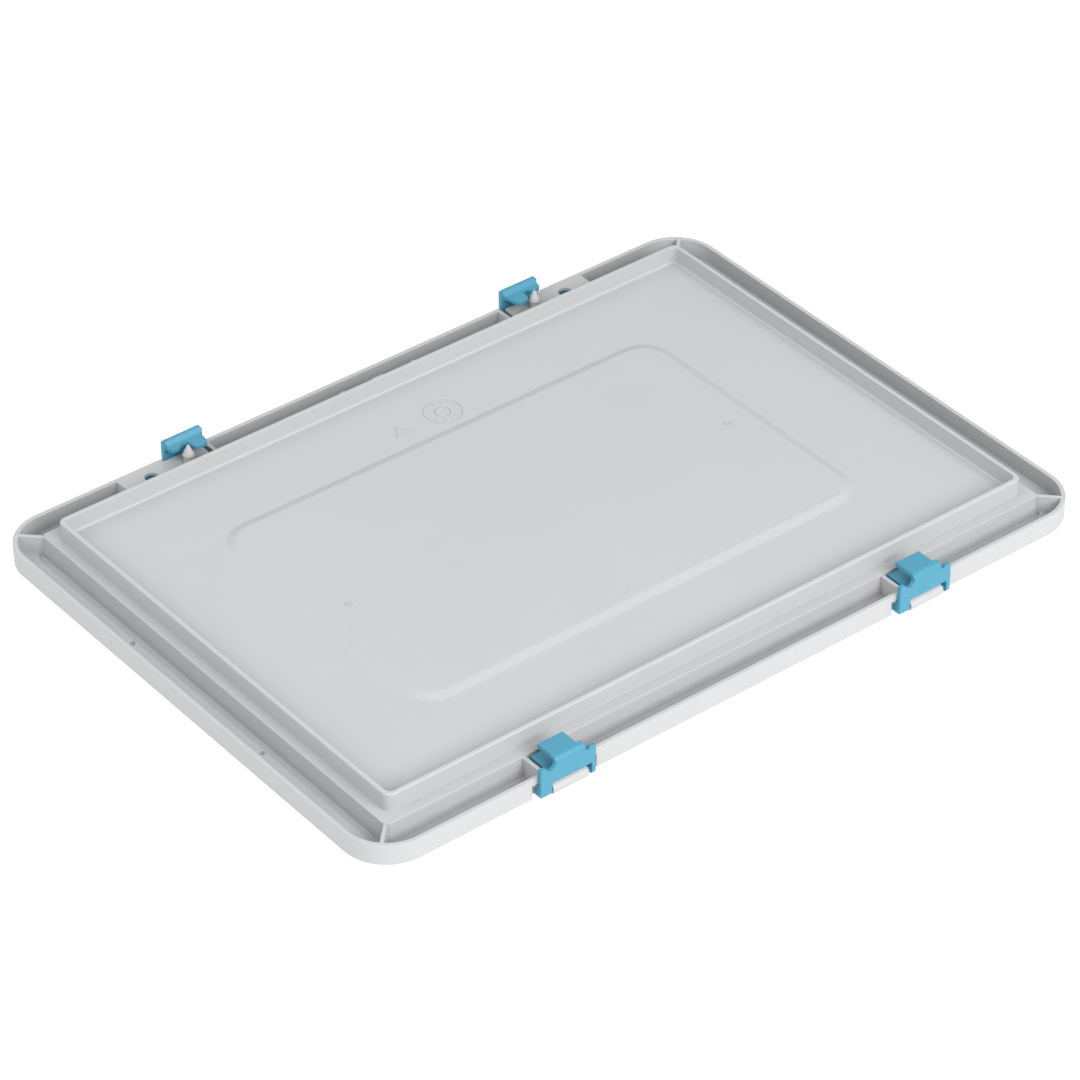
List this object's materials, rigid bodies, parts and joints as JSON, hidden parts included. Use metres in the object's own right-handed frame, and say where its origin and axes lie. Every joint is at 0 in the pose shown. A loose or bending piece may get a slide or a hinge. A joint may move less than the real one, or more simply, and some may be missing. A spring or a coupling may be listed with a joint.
{
  "type": "hinged container lid",
  "caption": "Flat moulded lid for a stacking container, shown underside up, with hinge clips on one long side and sliding snap latches on the other.",
  "frame": {"origin": "centre of the lid in plan, on the flat top face that it lies on here", "axes": "+X along the long sides, +Y towards the latch side, +Z out of the underside of the lid, so up as the lid lies here"},
  "size_m": [0.4, 0.2881, 0.0214],
  "materials": {
    "grey_plastic": "fine matte moulded polypropylene",
    "blue_plastic": "satin moulded polypropylene"
  },
  "bodies": {
    "lid": {"lid_body": "grey_plastic"},
    "clip_left": {"hinge_clip_left": "blue_plastic"},
    "clip_right": {"hinge_clip_right": "blue_plastic"},
    "latch_left": {"slide_latch_left": "blue_plastic"},
    "latch_right": {"slide_latch_right": "blue_plastic"}
  },
  "joints": [
    {"name": "clip_left_turn", "type": "hinge", "parent": "lid", "child": "clip_left", "pos_m": [-0.1006, -0.142, 0.003], "axis": [1, 0, 0], "range_deg": [0, 180]},
    {"name": "clip_right_turn", "type": "hinge", "parent": "lid", "child": "clip_right", "pos_m": [0.1006, -0.142, 0.003], "axis": [1, 0, 0], "range_deg": [0, 180]},
    {"name": "latch_left_slide", "type": "slide", "parent": "lid", "child": "latch_left", "axis": [0, 1, 0], "range_m": [0, 0.009]},
    {"name": "latch_right_slide", "type": "slide", "parent": "lid", "child": "latch_right", "axis": [0, 1, 0], "range_m": [0, 0.009]}
  ]
}
